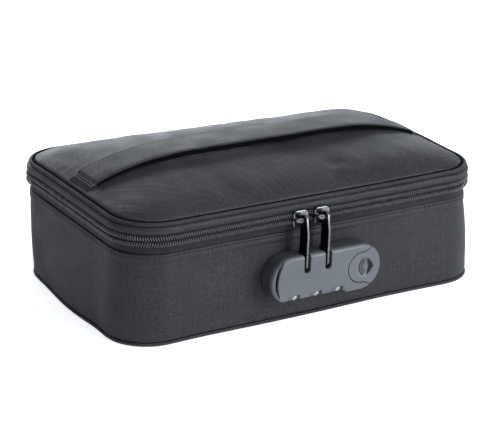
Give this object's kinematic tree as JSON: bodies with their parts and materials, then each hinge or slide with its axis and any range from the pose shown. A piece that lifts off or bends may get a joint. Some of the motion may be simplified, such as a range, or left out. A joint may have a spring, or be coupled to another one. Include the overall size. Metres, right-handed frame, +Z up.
{
  "type": "lockable battery safe bag",
  "caption": "Low zipped case of padded black nylon with a domed lid, a flat carry strap and a front lock that holds the zip pullers.",
  "frame": {"origin": "centre of the resting face, on the ground plane", "axes": "+X to the right along the long front, +Y to the hinged back, +Z up through the lid"},
  "size_m": [0.2586, 0.1723, 0.0945],
  "materials": {
    "shell_cloth": "woven satin",
    "piping": "woven satin",
    "binding": "woven matte",
    "zip_tape": "knitted matte",
    "zip_coil": "satin",
    "foam": "closed-cell matte",
    "board": "matte",
    "fire_lining": "coated glass-fibre weave",
    "strap": "woven satin",
    "lock_plastic": "satin",
    "dial_plastic": "satin",
    "dark_metal": "gunmetal, polished edges",
    "inner_steel": "zinc plated",
    "sleeve_brass": "turned"
  },
  "bodies": {
    "body": {"body_wall": "shell_cloth", "base_panel": "shell_cloth", "base_piping": "piping", "base_board": "board", "base_foam": "foam", "wall_foam": "foam", "body_liner": "fire_lining", "rim_binding": "binding", "zip_tape_lower": "zip_tape", "zip_coil_lower": "zip_coil", "hinge_strip": "shell_cloth", "lock_case": "lock_plastic", "lock_base": "lock_plastic", "lock_backing_plate": "inner_steel", "lock_screw_left": "inner_steel", "lock_screw_right": "inner_steel", "latch_detent_spring": "inner_steel", "dial_axle": "inner_steel", "dial_detent_spring": "inner_steel"},
    "lid": {"lid_panel": "shell_cloth", "lid_piping": "piping", "lid_band": "shell_cloth", "lid_binding": "binding", "lid_foam": "foam", "lid_liner": "fire_lining", "zip_tape_upper": "zip_tape", "zip_coil_upper": "zip_coil", "handle_end_left": "strap", "handle_end_right": "strap"},
    "handle": {"handle_strap": "strap"},
    "slider_left": {"slider_left": "dark_metal"},
    "slider_right": {"slider_right": "dark_metal"},
    "puller_left": {"puller_left": "dark_metal"},
    "puller_right": {"puller_right": "dark_metal"},
    "lock_button": {"lock_button": "lock_plastic", "latch_bar": "inner_steel"},
    "dial_left": {"dial_left": "dial_plastic", "dial_sleeve_left": "sleeve_brass"},
    "dial_middle": {"dial_middle": "dial_plastic", "dial_sleeve_middle": "sleeve_brass"},
    "dial_right": {"dial_right": "dial_plastic", "dial_sleeve_right": "sleeve_brass"}
  },
  "joints": [
    {"name": "lid_hinge", "type": "hinge", "parent": "body", "child": "lid", "pos_m": [0, 0.081, 0.0655], "axis": [-1, 0, 0], "range_deg": [0, 170]},
    {"name": "handle_lift", "type": "slide", "parent": "lid", "child": "handle", "axis": [0, 0, 1], "range_m": [0, 0.012]},
    {"name": "slider_left_travel", "type": "slide", "parent": "body", "child": "slider_left", "axis": [1, 0, 0], "range_m": [-0.0012, 0.0012]},
    {"name": "slider_right_travel", "type": "slide", "parent": "body", "child": "slider_right", "axis": [1, 0, 0], "range_m": [-0.0012, 0.0012]},
    {"name": "puller_left_swing", "type": "hinge", "parent": "slider_left", "child": "puller_left", "pos_m": [-0.01485, -0.0864, 0.0655], "axis": [-1, 0, 0], "range_deg": [0, 150]},
    {"name": "puller_right_swing", "type": "hinge", "parent": "slider_right", "child": "puller_right", "pos_m": [0.00015, -0.0864, 0.0655], "axis": [-1, 0, 0], "range_deg": [0, 150]},
    {"name": "lock_button_slide", "type": "slide", "parent": "body", "child": "lock_button", "axis": [1, 0, 0], "range_m": [0, 0.0035]},
    {"name": "dial_left_spin", "type": "hinge", "parent": "body", "child": "dial_left", "pos_m": [-0.0238, -0.0854, 0.0212], "axis": [1, 0, 0], "continuous": true},
    {"name": "dial_middle_spin", "type": "hinge", "parent": "body", "child": "dial_middle", "pos_m": [-0.0082, -0.0854, 0.0212], "axis": [1, 0, 0], "continuous": true},
    {"name": "dial_right_spin", "type": "hinge", "parent": "body", "child": "dial_right", "pos_m": [0.0072, -0.0854, 0.0212], "axis": [1, 0, 0], "continuous": true}
  ]
}
